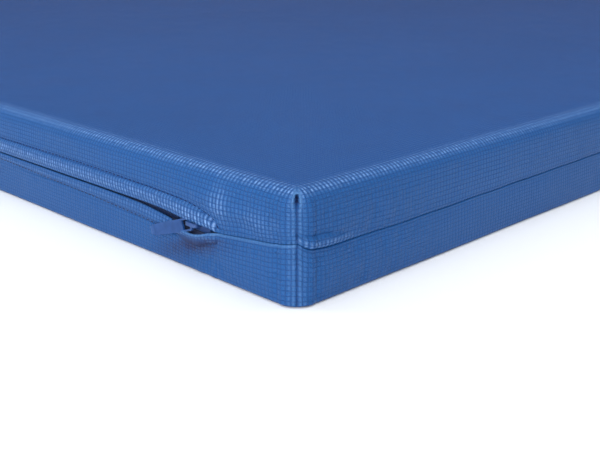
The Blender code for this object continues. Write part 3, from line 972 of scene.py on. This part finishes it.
def cover_cloth():
    """Coated cloth embossed with a plain weave: satin threads in pairs between dull grooves."""
    f = Finish("cover_sheet", (0.016, 0.089, 0.284), 0.40, Specular_IOR_Level=0.21)
    sheet = f.sheet()
    axes = wandering_axes(f, sheet)
    crossing, thread = woven_cells(f, axes, WEAVE / 2, 0.8)
    _, pair = woven_cells(f, axes, WEAVE, 0.75)
    pressed = f.remap(f.noise(sheet, 190.0, 1.0), 0.3, 0.7, 0.75, 1.1)
    woven = f.math("ADD", f.times(thread, 0.46), f.times(pair, 0.54))
    height = f.math("ADD", f.times(woven, pressed), f.times(crossing, 0.10))
    weave = f.bump(height, 0.36 * MM)
    grain = f.bump(f.noise(f.solid(), 5200.0, 3.0), 0.02 * MM, 0.6, under=weave)

    raised = f.remap(woven, 0.08, 0.55)
    cast = f.remap(f.noise(f.solid(), 9.0, 3.0), 0.3, 0.7)
    face = f.mix(cast, (0.0130, 0.089, 0.284), (0.0150, 0.097, 0.308))
    rubbed = f.remap(f.noise(sheet, 420.0, 2.0), 0.56, 0.8, 0.0, 0.22)
    face = f.mix(f.times(rubbed, raised), face, (0.055, 0.175, 0.445))
    # The grooves between the raised threads are painted darker: painted shade in the hollows, where bump
    # alone gives none.
    colour = f.mix(raised, (0.0101, 0.057, 0.208), face)
    # Pale where the coating is stretched round the hole, and painted highlights from the same mark beside
    # the dart and on lit sewn edges.
    colour = f.mix(f.times(f.mark("rub_and_highlight"), 0.6, clamp=True), colour, (0.110, 0.267, 0.540))
    # Painted highlights: pale strokes on the thread tops.
    colour = f.mix(painted_highlight_strokes(f, sheet, axes), colour, (0.170, 0.322, 0.640))
    # Painted shade in the dart's groove and hole, and painted shadow under the zip's open end, broken into
    # streaks along the weave.
    streaks = f.remap(f.noise(f.solid(), 260.0, 4.0), 0.35, 0.65, 0.55, 1.0)
    streaks = f.times(streaks, f.remap(pair, 0.3, 0.95, 1.0, 0.6))
    colour = f.mix(f.times(f.mark("painted_shade"), streaks, clamp=True), colour, (0.018, 0.031, 0.109))
    scuffs = f.noise(f.solid(), 38.0, 4.0)
    dull = f.math("ADD", f.remap(woven, 0.2, 0.8, 0.60, 0.21), f.remap(scuffs, 0.3, 0.7, -0.03, 0.05))
    return f.done(Base_Color=colour, Roughness=dull, Normal=grain)


def foam_cells():
    """Open-celled foam, a little yellowed."""
    f = Finish("foam", (0.75, 0.72, 0.62), 0.95)
    place = f.solid()
    pores = f.add("TexVoronoi", {"Vector": place, "Scale": 900.0}).outputs[0]
    tone = f.remap(f.noise(place, 60.0, 3.0), 0.3, 0.7)
    colour = f.mix(tone, (0.70, 0.66, 0.55), (0.79, 0.76, 0.67))
    colour = f.mix(f.remap(pores, 0.0, 0.5, 0.45, 0.0), colour, (0.42, 0.38, 0.30))
    return f.done(Base_Color=colour, Normal=f.bump(pores, 0.5 * MM))


def zip_tape_weave():
    """Narrow woven tape: fine ribs along its length, crossed by the weft."""
    f = Finish("zip_tape", (0.016, 0.036, 0.130), 0.85, Sheen_Weight=0.15)
    place = f.solid()
    axes = f.axes(place)
    rib = f.ridges(axes[2], 0.9 * MM)
    weft = f.ridges(axes[0], 0.55 * MM)
    height = f.times(f.math("POWER", rib, 0.6), f.math("POWER", weft, 0.5))
    colour = f.mix(height, (0.008, 0.020, 0.075), (0.022, 0.046, 0.155))
    fuzz = f.bump(f.noise(place, 4000.0), 0.03 * MM, 0.5)
    return f.done(Base_Color=colour, Normal=f.bump(height, 0.16 * MM, 1.0, under=fuzz))


def nylon_coil():
    """Satin nylon filament."""
    f = Finish("zip_coil", (0.020, 0.048, 0.165), 0.34)
    place = f.solid()
    tone = f.mix(f.noise(place, 300.0), (0.015, 0.038, 0.140), (0.028, 0.062, 0.200))
    return f.done(Base_Color=tone, Roughness=f.remap(f.noise(place, 900.0), 0.3, 0.7, 0.28, 0.45),
                  Normal=f.bump(f.noise(place, 2600.0), 0.02 * MM, 0.5))


def enamel(name, colour, worn):
    """Painted die casting: orange peel, patches of darker tone and paint rubbed thin on its edges."""
    f = Finish(name, colour, 0.46, Specular_IOR_Level=0.28)
    place = f.solid()
    edges = f.remap(f.add("NewGeometry", {}).outputs["Pointiness"], 0.52, 0.60)
    rubbed = f.times(edges, f.noise(place, 1400.0, 3.0), clamp=True)
    patchy = f.remap(f.noise(place, 260.0, 3.0), 0.35, 0.7)
    darker = tuple(0.78 * c for c in colour)
    tone = f.mix(rubbed, f.mix(patchy, darker, colour), worn)
    peel = f.bump(f.noise(place, 1500.0, 2.0), 0.05 * MM, 0.5)
    return f.done(Base_Color=tone, Roughness=f.remap(patchy, 0.0, 1.0, 0.52, 0.40), Normal=peel)


def spun_thread(name, dark, light):
    """Sewing thread: twisted yarn in two tones."""
    f = Finish(name, light, 0.70, Specular_IOR_Level=0.2)
    place = f.solid()
    tone = f.mix(f.remap(f.noise(place, 700.0), 0.3, 0.7), dark, light)
    axes = f.axes(place)
    slant = f.math("ADD", f.math("ADD", axes[0], axes[1]), f.times(axes[2], 1.6))
    twist = f.math("SINE", f.times(slant, 2 * math.pi / (0.42 * MM)))
    return f.done(Base_Color=tone, Normal=f.bump(twist, 0.05 * MM))


def woven_webbing():
    """Heavy webbing: a herringbone of warp yarns, with plain selvedges."""
    f = Finish("webbing", (0.012, 0.034, 0.130), 0.74, Specular_IOR_Level=0.22)
    axes = f.axes(f.sheet())
    chevron = f.math("PINGPONG", axes[1], 3.1 * MM)
    slope = f.math("ADD", axes[0], f.times(chevron, 0.9))
    twill = f.ridges(slope, 1.25 * MM)
    yarn = f.ridges(axes[1], 0.62 * MM)
    height = f.times(f.math("POWER", twill, 0.55), f.math("POWER", yarn, 0.35))
    tone = f.mix(height, (0.004, 0.011, 0.045), (0.017, 0.046, 0.170))
    worn = f.remap(f.noise(f.solid(), 90.0, 4.0), 0.45, 0.8, 0.0, 0.16)
    tone = f.mix(f.times(worn, height), tone, (0.10, 0.15, 0.28))
    fibres = f.bump(f.noise(f.solid(), 4200.0), 0.03 * MM, 0.6)
    return f.done(Base_Color=tone, Normal=f.bump(height, 0.40 * MM, 1.0, under=fibres))


def finish_cad_nodes(tape, slider, pull):
    """Better materials for the zip's CAD nodes, which stay in view."""
    kept = (("zip_tape_upper", tape), ("zip_tape_lower", tape), ("zip_bottom_stop", slider),
            ("zip_top_stop", slider), ("zip_slider", slider), ("zip_pull", pull))
    for side, _ in SIDES:
        for name, finish in kept:
            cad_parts[f"{name}_{side}"].material_slots[0].material = finish


# -------- view, floor and light

def aim(obj, place, target):
    obj.location = place
    obj.rotation_mode = "QUATERNION"
    obj.rotation_quaternion = (Vector(target) - Vector(place)).to_track_quat("-Z", "Y")


CORNER = Vector((OUTER_U, FRONT_Y, 0))
VIEW_FROM = CORNER + Vector((0.3054, -0.3008, 0.1890))
VIEW_TURN = math.radians(45.23)
VIEW_TILT = math.radians(18.64)
VIEW_LENS = 57.99
AHEAD = Vector((-math.sin(VIEW_TURN), math.cos(VIEW_TURN), 0))
ACROSS = Vector((math.cos(VIEW_TURN), math.sin(VIEW_TURN), 0))
UP = Vector((0, 0, 1))


def from_view(ahead, across, up):
    """A place measured from the photographed corner, along the view, across it and up."""
    return CORNER + AHEAD * ahead + ACROSS * across + UP * up


def build_camera():
    camera = bpy.data.objects.new("camera", bpy.data.cameras.new("camera"))
    camera.data.lens = VIEW_LENS
    camera.data.sensor_width = 36
    camera.data.clip_start = 0.01
    way = AHEAD * math.cos(VIEW_TILT) - UP * math.sin(VIEW_TILT)
    aim(camera, VIEW_FROM, VIEW_FROM + way)
    bpy.context.scene.camera = link(camera)


def softbox(name, place, target, size, power, colour):
    light = bpy.data.lights.new(name, "AREA")
    light.shape = "RECTANGLE"
    light.size, light.size_y = size
    light.energy = power
    light.color = colour
    lamp = link(bpy.data.objects.new(name, light))
    aim(lamp, place, target)


FLOOR_HALF = 9.0


def build_lights():
    """Softboxes in front, overhead and as a ceiling, edge strips, and a weak violet glow beyond."""
    corner = from_view(0.05, 0, 0.03)
    cold, cool = (0.74, 0.87, 1.0), (0.90, 0.97, 1.0)
    warm, violet = (1.0, 0.96, 0.93), (0.40, 0.12, 1.0)
    softbox("strip_left", from_view(0.32, -1.72, 1.05), corner, (0.14, 1.1), 7, cold)
    softbox("strip_right", from_view(0.26, 1.72, 1.05), corner, (0.14, 1.1), 4.5, cold)
    softbox("front", from_view(-3.6, -1.1, 1.65), corner, (4.4, 2.8), 170, warm)
    softbox("overhead", from_view(-0.15, 0, 1.15), from_view(0.05, 0, 0), (0.9, 0.9), 5.6, cool)
    softbox("violet", from_view(3.2, 0, 0.9), from_view(0.6, 0, 0.06), (3.6, 1.2), 2.0, violet)
    softbox("ceiling", Vector((0, 0, 4.5)), Vector((0, 0, 0)), (9.0, 9.0), 140, cool)


def build_studio():
    """Lights, a faint even glow all round and a floor of white paper."""
    build_lights()
    world = bpy.data.worlds.new("studio")
    world.use_nodes = True
    glow = world.node_tree.nodes["Background"].inputs
    glow["Color"].default_value = (0.94, 0.90, 1.0, 1)
    glow["Strength"].default_value = 0.19
    bpy.context.scene.world = world
    bpy.context.scene.view_settings.view_transform = "Standard"
    paper = Finish("backdrop", (0.96, 0.96, 0.96), 0.9)
    grain = paper.bump(paper.noise(paper.solid(), 300.0), 0.05 * MM, 0.3)
    corners = [(x * FLOOR_HALF, y * FLOOR_HALF, -0.05 * MM) for x, y in ((-1, -1), (1, -1), (1, 1), (-1, 1))]
    mesh_object("floor", corners, [(0, 1, 2, 3)], paper.done(Normal=grain), smooth=False)


# -------- the mat

def build_mat():
    cloth = cover_cloth()
    navy_thread = spun_thread("navy_thread", (0.010, 0.011, 0.060), (0.018, 0.024, 0.115))
    dusk_thread = spun_thread("dusk_thread", (0.020, 0.021, 0.055), (0.045, 0.044, 0.095))
    blue_thread = spun_thread("blue_thread", (0.014, 0.045, 0.17), (0.030, 0.09, 0.30))
    build_covers(cloth)
    build_foam(foam_cells())
    build_coils(nylon_coil())
    build_zip_stitches(navy_thread, dusk_thread)
    build_hinge_strip(cloth, blue_thread)
    build_handles(woven_webbing(), blue_thread)
    slider = enamel("painted_slider", (0.013, 0.054, 0.212), (0.06, 0.13, 0.32))
    pull = enamel("painted_pull", (0.013, 0.068, 0.248), (0.05, 0.14, 0.38))
    finish_cad_nodes(zip_tape_weave(), slider, pull)


build_mat()
build_camera()
build_studio()
